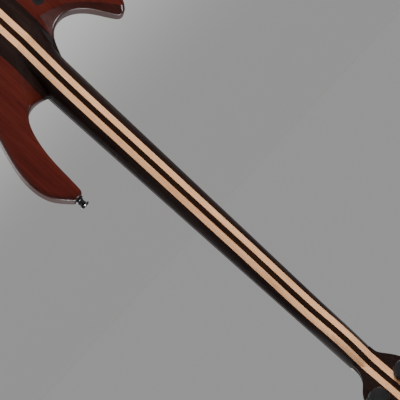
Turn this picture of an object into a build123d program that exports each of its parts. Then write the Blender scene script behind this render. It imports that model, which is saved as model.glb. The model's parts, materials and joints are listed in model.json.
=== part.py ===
from build123d import *
import math
import os

# Electric bouzouki: a solid body with a neck that runs right through it.
# Frame: Z runs up the neck from the seat of the end strap button, -Y is the string side,
# +Y the back, +X the treble side and -X the bass side. Y = 0 is the middle of the body.

# ---- driving sizes, in millimetres ----
scale_length = 670
saddle_z = 100
body_reach = 150
body_length = 430
body_thickness = 38
edge_round = 6
bass_tip_radius = 8
treble_tip_radius = 7
strap_flat = 2
seat_flat = 25

centre_ply_width = 6.2
maple_ply_width = 6.7
block_width = 56

nut_width = 30
board_end_width = 45
fretboard_thickness = 6
fret_count = 24
board_overhang = 8
neck_depth_at_nut = 16
neck_depth_at_heel = 20
heel_end_z = 375
heel_centre_z = 331
heel_softness = 12
heel_slope = 0.26
heel_flare = 18
heel_flare_drop = 20
heel_flare_length = 60
heel_root = 12
neck_fullness = 2.3
heel_fullness = 1.6

# the scoop follows the cutaways, so its places across go with the reach
scoop_low_x = 16 * body_reach / 75
scoop_low_z = 261
scoop_bass_reach = 79 * body_reach / 150
scoop_bass_rise = 62
scoop_bass_power = 3.3
scoop_treble_reach = body_reach / 3
scoop_treble_rise = 30
scoop_treble_power = 1.9
scoop_angle = 30
scoop_round = 5
scoop_rise = 2
scoop_bass_end = -2 * body_reach / 3
scoop_treble_end = 13 * body_reach / 15

head_tilt = 13
head_thickness = 14.5
head_length = 188
head_crown = 12
head_width_low = 68
head_width_high = 56
head_shift = 3
head_shoulder = 38
head_root = 4
head_curve_start = 6
head_curve_middle = 18
head_curve_out = 7
head_curve_rise = 0.4
head_root_ease = 0.6
veneer_thickness = 1.5

fit = 0.05
slide_gap = 0.2

nut_thickness = 5
nut_bevel = 1.3
nut_crest = 0.5
nut_slot_depth = 0.5
fret_height = 1.1
fret_width = 2.2
tang_width = 0.5
tang_depth = 1.6
marker_radius = 3
marker_depth = 1.5
first_fret_gap = 0.45
bridge_action = 3.0

course_spacing_nut = 7.3
pair_spacing_nut = 2.2
course_spacing_bridge = 13
pair_spacing_bridge = 2.8
string_radii = [0.45, 0.21, 0.29, 0.15, 0.19, 0.18, 0.13, 0.13]

bridge_width = 60
bridge_length = 48
bridge_back = 30
bridge_plate = 2.5
bridge_wall = 6
bridge_wall_height = 10.5
anchor_height = 8
anchor_pair_spacing = 4.4
string_hole_radius = 1
ball_radius = 1.9
ball_width = 3
saddle_width = 11
saddle_length = 15
saddle_back = 9
saddle_block = 3.6
saddle_travel = 3
wood_screw_radius = 1.3
wood_screw_length = 12
screw_head_radius = 2.6
intonation_screw_radius = 1.2
intonation_head_radius = 1.5
intonation_head = 2
bridge_corner = 3
bridge_wall_corner = 2
bridge_screw_inset = 5
saddle_ridge = 1.5
saddle_ridge_rise = 0.3
saddle_slope = 5
screw_head = 1.3

pickup_width = 62
pickup_length = 30
pickup_depth = 13
pickup_rise = 6
pickup_corner = 4
screw_recess = 2
rail_gap = 14
rail_depth = 5
pickup_edge_round = 1.5
pickup_screw_inset = 4
neck_pickup_gap = 22.5
bridge_pickup_place = 50
rail_rise = 0.4
rail_width = 46
rail_thickness = 2.4

truss_rod_radius = 2.4
truss_thread_radius = 1.8
truss_channel_depth = 9
truss_nut_radius = 3.2
truss_nut_length = 7
truss_pocket_width = 11
truss_pocket_length = 25
truss_pocket_start = 5
truss_pocket_depth = 9.5
truss_cover_thickness = 2
truss_cover_corner = 4
truss_cover_half = 9
truss_cover_low = 7
truss_cover_high = 36
channel_margin = 8
rod_play = 1
small_screw_radius = 1.1
small_screw_head_radius = 2.4
small_screw_head = 1.4
small_screw_length = 8

first_post = 43
last_post = 31
post_inset = 15
post_radius = 3
bushing_flange_radius = 5.6
bushing_flange = 2.2
bushing_barrel_radius = 4.4
bushing_barrel = 9
post_waist_radius = 2.2
post_seat = 6
post_top = 14
post_chamfer = 0.6
post_waist_start = 1.5
string_height = 7.6
housing_radius = 12
housing_height = 10
housing_bevel = 2.2
housing_shift = 1.7
worm_offset = 6
worm_shaft_radius = 2.2
worm_boss_radius = 3.8
worm_boss = 3.8
button_place = 27
button_length = 15
button_width = 19
button_thickness = 7
button_bevel = 2
button_collar = 1.5
button_collar_grow = 1
worm_start = 0.5
ear_offset = 15.6
tuner_ear = 2
tuner_ear_radius = 3.4

cover_thickness = 2
cover_radii = [12, 21, 30]
cover_screw_head_radius = 2.4
cover_screw_head = 1.2
cavity_floor = 7
cover_ear_radius = 7
cavity_wall = 5
pot_radius = 12
pot_height = 9
shaft_radius = 3
pot_thread_radius = 3.8
pot_nut = 1.5
pot_nut_radius = 5.5
shaft_seat = 5
knob_gap = 0.5
knob_radius = 9.5
knob_height = 15
knob_top = 3
knob_chamfer = 1.2
knob_flutes = 12
knob_flute_radius = 1.8
knob_flute_out = 1
knob_skirt = 2.5
knob_nut_gap = 0.6
knob_nut_clearance = 0.4
toggle_thread_radius = 3.8
toggle_bore_radius = 2.6
toggle_nut = 1.6
toggle_nut_radius = 6
toggle_body_width = 9
toggle_body_length = 16
toggle_body_depth = 11
toggle_pivot_depth = 2
toggle_ball = 2.5
toggle_length = 16
toggle_neck = 1
toggle_stem = 1.3
toggle_tip = 2.6
toggle_tip_end = 1.6
toggle_tip_chamfer = 1
toggle_tip_start = 3.5
toggle_stem_end = 5

jack_socket_radius = 3.2
jack_barrel_radius = 8.5
jack_flange_radius = 12
jack_flange = 2
jack_barrel_length = 24
jack_socket_depth = 21
jack_bore_depth = 38

strap_screw_radius = 1.8
strap_screw_length = 26
strap_base_radius = 6
strap_waist_radius = 3.6
strap_head_radius = 6.5
strap_button_height = 11.5
strap_recess = 2.5
strap_recess_radius = 3.6
strap_recess_gap = 0.2
strap_base = 1.5
strap_waist = 5
strap_rim = 2
strap_rim_chamfer = 1.5
strap_screw_head = 2
strap_bore_end = 1

# ---- positions worked out from the driving sizes ----
front_y = -body_thickness / 2
back_y = body_thickness / 2
nut_front_z = saddle_z + scale_length
last_fret_z = nut_front_z - scale_length * (1 - 2 ** (-fret_count / 12))
board_end_z = last_fret_z - board_overhang
neck_pickup_z = board_end_z - neck_pickup_gap - pickup_length / 2
bridge_pickup_z = saddle_z + bridge_pickup_place
post_pitch = (head_length - first_post - last_post) / 3
nut_back_z = nut_front_z + nut_thickness
board_top_y = front_y - fretboard_thickness
maple_outer_x = centre_ply_width / 2 + maple_ply_width

# Looking at the body from the front, its plan is drawn on XZ planes.
front_plane = Plane.XZ.offset(-front_y)
back_plane = Plane.XZ.offset(-back_y)

# The head leans back behind the nut: its plane's x runs across, its y up the head,
# and its normal points out of the string side.
tilt = math.radians(head_tilt)
head_plane = Plane(
    origin=(0, front_y, nut_back_z),
    x_dir=(1, 0, 0),
    z_dir=(0, -math.cos(tilt), math.sin(tilt)),
)
head_back_plane = head_plane.offset(-head_thickness)
head_face_plane = head_plane.offset(veneer_thickness)


def body_point(across, up):
    """A place on the body's plan, in shares of its reach to the side and of its length."""
    return (across * body_reach, up * body_length)


bass_tip = body_point(-0.56, 0.98)
treble_tip = body_point(0.663, 0.74)
jack_x, jack_z = body_point(1, 0.214)
horn_seat_z = bass_tip[1] + bass_tip_radius - strap_flat


def half_width(z):
    """Half the width of the fretboard and neck at height z."""
    share = (nut_front_z - z) / (nut_front_z - board_end_z)
    return (nut_width + (board_end_width - nut_width) * share) / 2


def neck_back(z):
    """Where the back of the neck lies at height z: a slow taper, then the heel's rise."""
    share = (z - heel_end_z) / (nut_front_z - heel_end_z)
    depth = neck_depth_at_heel + (neck_depth_at_nut - neck_depth_at_heel) * share
    rise = heel_slope * heel_softness * math.log(1 + math.exp((heel_centre_z - z) / heel_softness))
    return front_y + depth + rise


def scoop_edge(x):
    """Height at which the flat back ends and the carved scoop under the neck begins."""
    if x < scoop_low_x:
        share = (scoop_low_x - x) / scoop_bass_reach
        return scoop_low_z + scoop_bass_rise * share**scoop_bass_power
    share = (x - scoop_low_x) / scoop_treble_reach
    return scoop_low_z + scoop_treble_rise * share**scoop_treble_power


def tip_point(centre, radius, angle):
    """A point on a horn's rounded tip."""
    turn = math.radians(angle)
    return (centre[0] + radius * math.cos(turn), centre[1] + radius * math.sin(turn))


def tip_heading(angle):
    """Which way the outline runs, clockwise, at that point of a tip."""
    turn = math.radians(angle)
    return (math.sin(turn), -math.cos(turn))


# ---- the woods: one blank is glued up, carved, then read as its seven boards ----


def neck_section(z):
    """The neck's D-shaped section at height z, squarer where it grows into the body."""
    grow = max(0, (heel_centre_z - heel_flare_drop - z) / heel_flare_length)
    width = half_width(z) + heel_flare * grow**2
    depth = neck_back(z) - front_y
    power = neck_fullness + heel_fullness * min(1, grow * 1.5)
    steps = 12
    rim = []
    for step in range(steps + 1):
        angle = math.pi * step / steps
        across = math.copysign(abs(math.cos(angle)) ** (2 / power), math.cos(angle))
        down = math.sin(angle) ** (2 / power) if 0 < step < steps else 0
        rim.append((width * across, front_y + depth * down))
    with BuildSketch(Plane.XY.offset(z)) as section:
        with BuildLine():
            Spline(rim, tangents=[(0, 1), (0, -1)])
            Line(rim[-1], rim[0])
        make_face()
    return section.sketch


def curve(points, start_heading, end_heading):
    """A fair curve through the points that leaves and arrives in the given directions."""
    return Spline(points, tangents=[start_heading, end_heading], tangent_scalars=[1, 1])


def build_body_outline():
    """The plan of the body, from the bottom round the bass horn to the treble horn."""
    bass_out = tip_point(bass_tip, bass_tip_radius, 140)
    bass_top = tip_point(bass_tip, bass_tip_radius, 70)
    bass_in = tip_point(bass_tip, bass_tip_radius, 6)
    treble_in = tip_point(treble_tip, treble_tip_radius, 143)
    treble_top = tip_point(treble_tip, treble_tip_radius, 90)
    treble_out = tip_point(treble_tip, treble_tip_radius, 36)
    bass_bottom = (-seat_flat, 0)
    treble_bottom = (seat_flat, 0)
    bass_root = body_point(-0.093, 0.781)
    treble_root = body_point(0.093, 0.749)
    bass_bout = [body_point(-0.613, 0.04), body_point(-0.987, 0.214)]
    bass_waist = [body_point(-0.813, 0.414), body_point(-0.56, 0.57), body_point(-0.64, 0.751)]
    bass_horn = [body_point(-0.73, 0.87), body_point(-0.693, 0.949)]
    bass_horn_inside = [body_point(-0.493, 0.909), body_point(-0.447, 0.814)]
    bass_cutaway = [body_point(-0.34, 0.756), body_point(-0.207, 0.755)]
    treble_heel = [body_point(0.15, 0.707), body_point(0.213, 0.663)]
    treble_cutaway = [body_point(0.32, 0.647), body_point(0.44, 0.662), body_point(0.55, 0.707)]
    treble_horn = [body_point(0.78, 0.679), body_point(0.693, 0.572)]
    treble_waist = [body_point(0.62, 0.493), body_point(0.827, 0.384)]
    treble_bout = [(jack_x, jack_z), body_point(0.627, 0.04)]
    with BuildSketch(back_plane) as outline:
        with BuildLine():
            Line(treble_bottom, bass_bottom)
            curve(
                [bass_bottom, *bass_bout, *bass_waist, *bass_horn, bass_out],
                (-1, 0),
                tip_heading(140),
            )
            ThreePointArc(bass_out, bass_top, bass_in)
            curve(
                [bass_in, *bass_horn_inside, *bass_cutaway, bass_root],
                tip_heading(6),
                (0.6, 0.8),
            )
            Line(bass_root, treble_root)
            curve(
                [treble_root, *treble_heel, *treble_cutaway, treble_in],
                (0.5, -0.9),
                tip_heading(143),
            )
            ThreePointArc(treble_in, treble_top, treble_out)
            curve(
                [treble_out, *treble_horn, *treble_waist, *treble_bout, treble_bottom],
                tip_heading(36),
                (-1, 0),
            )
        make_face()
    return outline.sketch


def build_head_outline(plane, root):
    """The plan of the head on the given plane, its root so far inside the neck's sides."""
    low = head_width_low / 2
    high = head_width_high / 2
    neck = half_width(nut_back_z)
    crown = head_length - head_crown
    rise = head_curve_rise - head_root_ease * root
    start = (neck - root, -head_root)
    early = (neck + rise, head_curve_start)
    middle = (neck + head_curve_out, head_curve_middle)
    with BuildSketch(plane) as outline:
        with BuildLine():
            Spline(
                [
                    (-start[0], start[1]),
                    (-early[0], early[1]),
                    (-middle[0], middle[1]),
                    (-head_shift - low, head_shoulder),
                ],
                tangents=[(0, 1), (-0.3, 1)],
            )
            Line((-head_shift - low, head_shoulder), (-head_shift - high, crown))
            ThreePointArc(
                (-head_shift - high, crown), (-head_shift, head_length), (high - head_shift, crown)
            )
            Line((high - head_shift, crown), (low - head_shift, head_shoulder))
            Spline(
                [(low - head_shift, head_shoulder), middle, early, start],
                tangents=[(-0.3, -1), (0, -1)],
            )
            Line(start, (-start[0], start[1]))
        make_face()
    return outline.sketch


# Post places on the head plane: four on each side, the rows parallel to the head's edges.
post_places = []
for side in (-1, 1):
    for row in range(4):
        up = first_post + post_pitch * row
        share = (up - head_shoulder) / (head_length - head_crown - head_shoulder)
        edge = (head_width_low + (head_width_high - head_width_low) * share) / 2
        post_places.append((side * (edge - post_inset) - head_shift, up, side))

# Controls on the front, and the cavity behind them, as (x, z) places.
knob_places = {
    "volume": body_point(0.493, 0.391),
    "blend": body_point(0.593, 0.316),
    "tone": body_point(0.687, 0.244),
}
toggle_place = body_point(0.393, 0.481)
cover_middles = [body_point(0.333, 0.544), body_point(0.44, 0.433), body_point(0.667, 0.26)]
ear_places = [
    body_point(0.307, 0.577),
    body_point(0.287, 0.428),
    body_point(0.72, 0.374),
    body_point(0.727, 0.188),
    body_point(0.513, 0.209),
]
cavity_depth = body_thickness - cavity_floor
channel_low_z = board_end_z + channel_margin
channel_high_z = nut_back_z + channel_margin
bridge_back_screw_z = saddle_z - bridge_back + bridge_wall + bridge_screw_inset
bridge_front_screw_z = saddle_z - bridge_back + bridge_length - bridge_screw_inset
truss_screw_places = [
    (-truss_cover_half, truss_cover_low),
    (truss_cover_half, truss_cover_low),
    (0, truss_cover_high),
]


def on_front(x, z, depth=0):
    """A plane on the body's front, or below it, facing out of the string side."""
    return Plane(origin=(x, front_y + depth, z), x_dir=(1, 0, 0), z_dir=(0, -1, 0))


def on_head(x, up, height=0):
    """A plane square to the head, at a height above or below the wood's face."""
    origin = head_plane.from_local_coords((x, up, height))
    return Plane(origin=origin, x_dir=(1, 0, 0), z_dir=head_plane.z_dir)


def worm_plane(x, up, side, out):
    """A plane across a tuner's worm shaft, so far out from its post."""
    origin = head_plane.from_local_coords(
        (x + side * out, up - worm_offset, -head_thickness - housing_height / 2)
    )
    return Plane(origin=origin, x_dir=head_plane.y_dir, z_dir=(side, 0, 0))


jack_plane = Plane(origin=(jack_x, 0, jack_z), x_dir=(0, 1, 0), z_dir=(1, 0, 0))
strap_planes = [
    Plane(origin=(bass_tip[0], 0, horn_seat_z), x_dir=(1, 0, 0), z_dir=(0, 0, 1)),
    Plane(origin=(0, 0, 0), x_dir=(1, 0, 0), z_dir=(0, 0, -1)),
]
bridge_screw_planes = []
for x in (-course_spacing_bridge, course_spacing_bridge):
    bridge_screw_planes.append(on_front(x, bridge_back_screw_z))
front_screw_x = bridge_width / 2 - bridge_screw_inset
for x in (-front_screw_x, 0, front_screw_x):
    bridge_screw_planes.append(on_front(x, bridge_front_screw_z))
pickup_screw_planes = []
pickup_screw_x = pickup_width / 2 - pickup_screw_inset
for z in (neck_pickup_z, bridge_pickup_z):
    for x in (-pickup_screw_x, pickup_screw_x):
        pickup_screw_planes.append(on_front(x, z, pickup_depth))
cover_screw_planes = []
for x, z in ear_places:
    origin = (x, back_y - cover_thickness, z)
    cover_screw_planes.append(Plane(origin=origin, x_dir=(-1, 0, 0), z_dir=(0, 1, 0)))


def add_screw(seat, head_radius, head_height, shank_radius, shank_length):
    """A pan-head screw in the part being built, its head standing on the seat plane."""
    with Locations(seat):
        Cylinder(head_radius, head_height, align=(Align.CENTER, Align.CENTER, Align.MIN))
        Cylinder(shank_radius, shank_length, align=(Align.CENTER, Align.CENTER, Align.MAX))


def build_cover_outline(plane, grow, ears):
    """The rounded outline of the control cover, grown or shrunk, with or without its ears."""
    with BuildSketch(plane) as outline:
        for middle, radius in zip(cover_middles, cover_radii):
            with Locations(middle):
                Circle(radius + grow)
        make_hull()
        if ears:
            with Locations(*ear_places):
                Circle(cover_ear_radius + grow)
    return outline.sketch


def is_scoop_rim(edge):
    """Whether an edge is one that the scoop leaves where it runs out through the sides."""
    return edge.geom_type != GeomType.LINE and abs((edge @ 0.5).Y) < back_y - scoop_rise


with BuildPart() as scooped_blank:
    add(extrude(build_body_outline(), amount=body_thickness, mode=Mode.PRIVATE))
    # the scoop under the neck is cut along a slant, from a curved edge on the flat back
    lead = scoop_rise / math.tan(math.radians(scoop_angle))
    edge_steps = 10
    edge_points = []
    for step in range(edge_steps + 1):
        x = scoop_bass_end + (scoop_treble_end - scoop_bass_end) * step / edge_steps
        edge_points.append((x, scoop_edge(x) - lead))
    scoop_high_z = 2 * body_length
    with BuildSketch(Plane.XZ.offset(-back_y - scoop_rise)) as scoop:
        with BuildLine():
            Spline(edge_points)
            Polyline(
                edge_points[-1],
                (scoop_treble_end, scoop_high_z),
                (scoop_bass_end, scoop_high_z),
                edge_points[0],
            )
        make_face()
    slant = (0, -math.sin(math.radians(scoop_angle)), math.cos(math.radians(scoop_angle)))
    reach = (body_thickness + 2 * scoop_rise) / math.sin(math.radians(scoop_angle))
    extrude(scoop.sketch, amount=reach, dir=slant, mode=Mode.SUBTRACT)
    fillet(scooped_blank.edges().filter_by(is_scoop_rim), scoop_round)

with BuildPart() as body_blank:
    add(extrude(build_body_outline(), amount=body_thickness, mode=Mode.PRIVATE))
    rims = body_blank.edges().filter_by(Plane.XZ)
    fillet(rims, edge_round)
    add(scooped_blank, mode=Mode.INTERSECT)

with BuildPart() as neck_carve:
    sections = []
    heel_steps = 10
    heel_start_z = scoop_low_z - heel_root
    neck_end_z = nut_back_z + channel_margin
    for step in range(heel_steps + 1):
        z = heel_start_z + (heel_end_z - heel_start_z) * step / heel_steps
        sections.append(neck_section(z))
    neck_steps = 5
    for step in range(1, neck_steps + 1):
        sections.append(neck_section(heel_end_z + (neck_end_z - heel_end_z) * step / neck_steps))
    loft(sections)
    # nothing stands above the flat back
    with BuildSketch(back_plane):
        with Locations((0, heel_start_z)):
            Rectangle(2 * body_reach, 2 * heel_flare_length)
    extrude(amount=-body_thickness, mode=Mode.SUBTRACT)

with BuildPart() as head_blank:
    add(extrude(build_head_outline(head_back_plane, 1), amount=head_thickness, mode=Mode.PRIVATE))

with BuildPart() as blank:
    add(body_blank)
    add(neck_carve)
    add(head_blank)
    # the neck's front stops at the head's face, and the head's at the nut's seat
    for plane, middle in ((head_plane, head_shoulder / 2), (front_plane, nut_back_z - head_shoulder / 2)):
        with BuildSketch(plane):
            with Locations((0, middle)):
                Rectangle(2 * head_width_low, head_shoulder)
        extrude(amount=2 * head_thickness, mode=Mode.SUBTRACT)
    # truss rod channel under the fretboard, and its pocket in the head
    with BuildSketch(front_plane):
        with Locations((0, (channel_low_z + channel_high_z) / 2)):
            Rectangle(2 * (truss_rod_radius + fit), channel_high_z - channel_low_z)
    extrude(amount=-truss_channel_depth, mode=Mode.SUBTRACT)
    with BuildSketch(head_plane):
        with Locations((0, truss_pocket_start + truss_pocket_length / 2)):
            SlotOverall(truss_pocket_length, truss_pocket_width, rotation=90)
    extrude(amount=-truss_pocket_depth, mode=Mode.SUBTRACT)
    # pickup pockets in the front
    with BuildSketch(front_plane):
        with Locations((0, neck_pickup_z), (0, bridge_pickup_z)):
            RectangleRounded(pickup_width + 2 * slide_gap, pickup_length + 2 * slide_gap, pickup_corner)
    extrude(amount=-pickup_depth, mode=Mode.SUBTRACT)
    # control cavity from the back, with a ledge that the cover lies in
    ledge = extrude(build_cover_outline(back_plane, fit, True), amount=cover_thickness, mode=Mode.PRIVATE)
    add(ledge, mode=Mode.SUBTRACT)
    cavity = extrude(
        build_cover_outline(back_plane, -cavity_wall, False), amount=cavity_depth, mode=Mode.PRIVATE
    )
    add(cavity, mode=Mode.SUBTRACT)
    with BuildSketch(front_plane):
        with Locations(*knob_places.values()):
            Circle(pot_thread_radius + fit)
        with Locations(toggle_place):
            Circle(toggle_thread_radius + fit)
    extrude(amount=-cavity_floor, mode=Mode.SUBTRACT)
    # jack bore in the side, stepped for the jack's flange
    with Locations(jack_plane):
        Cylinder(jack_barrel_radius + fit, 2 * jack_bore_depth, mode=Mode.SUBTRACT)
        Cylinder(jack_flange_radius + fit, 2 * jack_flange, mode=Mode.SUBTRACT)
    # tuner holes, square to the head
    for x, up, side in post_places:
        with Locations(on_head(x, up)):
            Cylinder(bushing_barrel_radius + fit, 3 * head_thickness, mode=Mode.SUBTRACT)
        with Locations(on_head(x, up + ear_offset, -head_thickness)):
            Cylinder(small_screw_radius + fit, 2 * small_screw_length, mode=Mode.SUBTRACT)
    for x, up in truss_screw_places:
        with Locations(on_head(x, up)):
            Cylinder(small_screw_radius + fit, 2 * small_screw_length, mode=Mode.SUBTRACT)
    # the bass horn's tip is cut flat for its strap button
    with Locations((bass_tip[0], 0, horn_seat_z)):
        Box(
            4 * bass_tip_radius,
            2 * body_thickness,
            bass_tip_radius,
            align=(Align.CENTER, Align.CENTER, Align.MIN),
            mode=Mode.SUBTRACT,
        )
    for plane in strap_planes:
        with Locations(plane):
            Cylinder(strap_screw_radius + fit, 2 * strap_screw_length, mode=Mode.SUBTRACT)
    # pilot holes for the bridge, pickup and cover screws
    for plane in bridge_screw_planes + pickup_screw_planes + cover_screw_planes:
        with Locations(plane):
            Cylinder(wood_screw_radius + fit, 2 * wood_screw_length, mode=Mode.SUBTRACT)


def build_board(corners, side, label):
    """One board of the glued blank: what of it lies inside the glue joints' outline."""
    with BuildPart() as board:
        add(blank)
        with BuildSketch(Plane.XZ):
            with BuildLine():
                Polyline([(side * across, z) for across, z in corners], close=True)
            make_face()
        extrude(amount=4 * body_thickness, both=True, mode=Mode.INTERSECT)
    board.part.label = label
    return board.part


centre_x = centre_ply_width / 2
wing_x = block_width / 2
far_x = 2 * body_reach
low_z = -body_length
horn_top_z = body_length + block_width
head_top_z = nut_back_z + 2 * head_length
centre_corners = [(-centre_x, low_z), (centre_x, low_z), (centre_x, head_top_z), (-centre_x, head_top_z)]
maple_corners = [
    (centre_x, low_z),
    (maple_outer_x, low_z),
    (maple_outer_x, head_top_z),
    (centre_x, head_top_z),
]
# The outer plies are as wide as the block along the body and reach the head's edges.
outer_corners = [
    (maple_outer_x, low_z),
    (wing_x, low_z),
    (wing_x, horn_top_z),
    (far_x, horn_top_z),
    (far_x, head_top_z),
    (maple_outer_x, head_top_z),
]
wing_corners = [(wing_x, low_z), (far_x, low_z), (far_x, horn_top_z), (wing_x, horn_top_z)]

neck_centre_ply = build_board(centre_corners, 1, "neck_centre_ply")
neck_maple_ply_bass = build_board(maple_corners, -1, "neck_maple_ply_bass")
neck_maple_ply_treble = build_board(maple_corners, 1, "neck_maple_ply_treble")
neck_outer_ply_bass = build_board(outer_corners, -1, "neck_outer_ply_bass")
neck_outer_ply_treble = build_board(outer_corners, 1, "neck_outer_ply_treble")
body_wing_bass = build_board(wing_corners, -1, "body_wing_bass")
body_wing_treble = build_board(wing_corners, 1, "body_wing_treble")

# ---- fretboard, frets, markers, nut ----
fret_places = []
for fret in range(1, fret_count + 1):
    fret_places.append(nut_front_z - scale_length * (1 - 2 ** (-fret / 12)))

marker_places = []
for fret in (3, 5, 7, 9, 12, 15, 17, 19, 21, 24):
    if fret <= fret_count:
        middle = (fret_places[fret - 2] + fret_places[fret - 1]) / 2
        spread = half_width(middle) / 2
        if fret % 12 == 0:
            marker_places.append((-spread, middle))
            marker_places.append((spread, middle))
        else:
            marker_places.append((0, middle))

board_top_plane = Plane.XZ.offset(-board_top_y)

with BuildPart() as fretboard:
    with BuildSketch(front_plane):
        with BuildLine():
            Polyline(
                (-half_width(board_end_z), board_end_z),
                (half_width(board_end_z), board_end_z),
                (half_width(nut_front_z), nut_front_z),
                (-half_width(nut_front_z), nut_front_z),
                close=True,
            )
        make_face()
    extrude(amount=fretboard_thickness)
    with BuildSketch(board_top_plane):
        for z in fret_places:
            with Locations((0, z)):
                Rectangle(2 * board_end_width, tang_width + 2 * fit)
    extrude(amount=-tang_depth - fit, mode=Mode.SUBTRACT)
    with BuildSketch(board_top_plane):
        with Locations(*marker_places):
            Circle(marker_radius + fit)
    extrude(amount=-marker_depth, mode=Mode.SUBTRACT)
fretboard.part.label = "fretboard"

with BuildPart() as frets:
    for z in fret_places:
        with BuildSketch(Plane(origin=(-half_width(z), board_top_y, z), x_dir=(0, 0, 1), z_dir=(1, 0, 0))):
            with BuildLine():
                Line((-fret_width / 2, 0), (-tang_width / 2, 0))
                Line((-tang_width / 2, 0), (-tang_width / 2, -tang_depth))
                Line((-tang_width / 2, -tang_depth), (tang_width / 2, -tang_depth))
                Line((tang_width / 2, -tang_depth), (tang_width / 2, 0))
                Line((tang_width / 2, 0), (fret_width / 2, 0))
                ThreePointArc((fret_width / 2, 0), (0, fret_height), (-fret_width / 2, 0))
            make_face()
        extrude(amount=2 * half_width(z))
frets.part.label = "frets"

with BuildPart() as fret_markers:
    with BuildSketch(board_top_plane):
        with Locations(*marker_places):
            Circle(marker_radius)
    extrude(amount=-marker_depth)
fret_markers.part.label = "fret_markers"

# String lines: (x, y of the string's underside) at the nut and at the saddles.
fret_top_y = board_top_y - fret_height
nut_line_y = fret_top_y - first_fret_gap
saddle_line_y = fret_top_y - bridge_action
strings_at_nut = []
strings_at_saddle = []
strings_at_anchor = []
for course in range(4):
    for partner in (-1, 1):
        place = course - 1.5
        strings_at_nut.append(place * course_spacing_nut + partner * pair_spacing_nut / 2)
        strings_at_saddle.append(place * course_spacing_bridge + partner * pair_spacing_bridge / 2)
        strings_at_anchor.append(place * course_spacing_bridge + partner * anchor_pair_spacing / 2)

bridge_low_z = saddle_z - bridge_back
wall_high_z = bridge_low_z + bridge_wall
plate_top_y = front_y - bridge_plate
screw_line_y = plate_top_y - slide_gap - saddle_block / 2
anchor_y = front_y - anchor_height
course_places = [(course - 1.5) * course_spacing_bridge for course in range(4)]

# Which post each string goes to: from the outermost in, nearest post first on each side.
string_posts = [0, 1, 2, 3, 7, 6, 5, 4]
string_paths = []
for number, radius in enumerate(string_radii):
    x, up, side = post_places[string_posts[number]]
    beside = x - side * (post_waist_radius + radius + slide_gap)
    path = [
        Vector(strings_at_anchor[number], anchor_y, bridge_low_z - ball_radius),
        Vector(strings_at_anchor[number], anchor_y, wall_high_z),
        Vector(strings_at_saddle[number], saddle_line_y - radius, saddle_z),
        Vector(strings_at_nut[number], nut_line_y - radius, nut_front_z),
        head_plane.from_local_coords(Vector(beside, up, string_height)),
    ]
    string_paths.append(path)

with BuildPart() as nut:
    crest_y = nut_line_y - nut_slot_depth
    with BuildSketch(Plane.YZ.offset(-half_width(nut_back_z))):
        with BuildLine():
            Polyline(
                (front_y, nut_front_z),
                (front_y, nut_back_z),
                (nut_line_y + nut_bevel, nut_back_z),
                (crest_y, nut_front_z + nut_crest),
                (crest_y, nut_front_z),
                close=True,
            )
        make_face()
    extrude(amount=2 * half_width(nut_back_z))
    # each slot follows its string's fall and fan towards the head
    for path, radius in zip(string_paths, string_radii):
        with Locations(Plane(origin=path[3], x_dir=(1, 0, 0), z_dir=path[4] - path[3])):
            with Locations((0, radius + fit, 0)):
                Box(
                    2 * (radius + fit),
                    4 * nut_slot_depth + 2 * radius,
                    4 * nut_thickness,
                    align=(Align.CENTER, Align.MAX, Align.CENTER),
                    mode=Mode.SUBTRACT,
                )
nut.part.label = "nut"

# ---- head: veneer, truss rod and its cover, tuners ----
with BuildPart() as head_veneer:
    add(extrude(build_head_outline(head_plane, 0), amount=veneer_thickness, mode=Mode.PRIVATE))
    with BuildSketch(head_plane):
        with Locations((0, -head_root)):
            Rectangle(2 * head_width_low, 2 * head_root)
    extrude(amount=veneer_thickness, mode=Mode.SUBTRACT)
    with BuildSketch(head_plane):
        for x, up, side in post_places:
            with Locations((x, up)):
                Circle(bushing_barrel_radius + fit)
        with Locations((0, truss_pocket_start + truss_pocket_length / 2)):
            SlotOverall(truss_pocket_length, truss_pocket_width, rotation=90)
        with Locations(*truss_screw_places):
            Circle(small_screw_radius + fit)
    extrude(amount=veneer_thickness, mode=Mode.SUBTRACT)
head_veneer.part.label = "head_veneer"

rod_y = front_y + truss_channel_depth - truss_rod_radius
rod_low_z = channel_low_z + rod_play
rod_length = channel_high_z - rod_play - rod_low_z
rod_plane = Plane(origin=(0, rod_y, rod_low_z), x_dir=(1, 0, 0), z_dir=(0, 0, 1))

with BuildPart(rod_plane) as truss_rod:
    Cylinder(truss_rod_radius, rod_length, align=(Align.CENTER, Align.CENTER, Align.MIN))
    Cylinder(
        truss_thread_radius,
        rod_length + rod_play + truss_nut_length,
        align=(Align.CENTER, Align.CENTER, Align.MIN),
    )
truss_rod.part.label = "truss_rod"

with BuildPart() as truss_rod_nut:
    with BuildSketch(Plane(origin=(0, rod_y, channel_high_z), x_dir=(1, 0, 0), z_dir=(0, 0, 1))):
        RegularPolygon(truss_nut_radius, 6)
        Circle(truss_thread_radius + fit, mode=Mode.SUBTRACT)
    extrude(amount=truss_nut_length)
truss_rod_nut.part.label = "truss_rod_nut"

with BuildPart() as truss_rod_cover:
    with BuildSketch(head_face_plane):
        with Locations(*truss_screw_places):
            Circle(truss_cover_corner)
        make_hull()
        with Locations(*truss_screw_places):
            Circle(small_screw_radius + fit, mode=Mode.SUBTRACT)
    extrude(amount=truss_cover_thickness)
truss_rod_cover.part.label = "truss_rod_cover"

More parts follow.
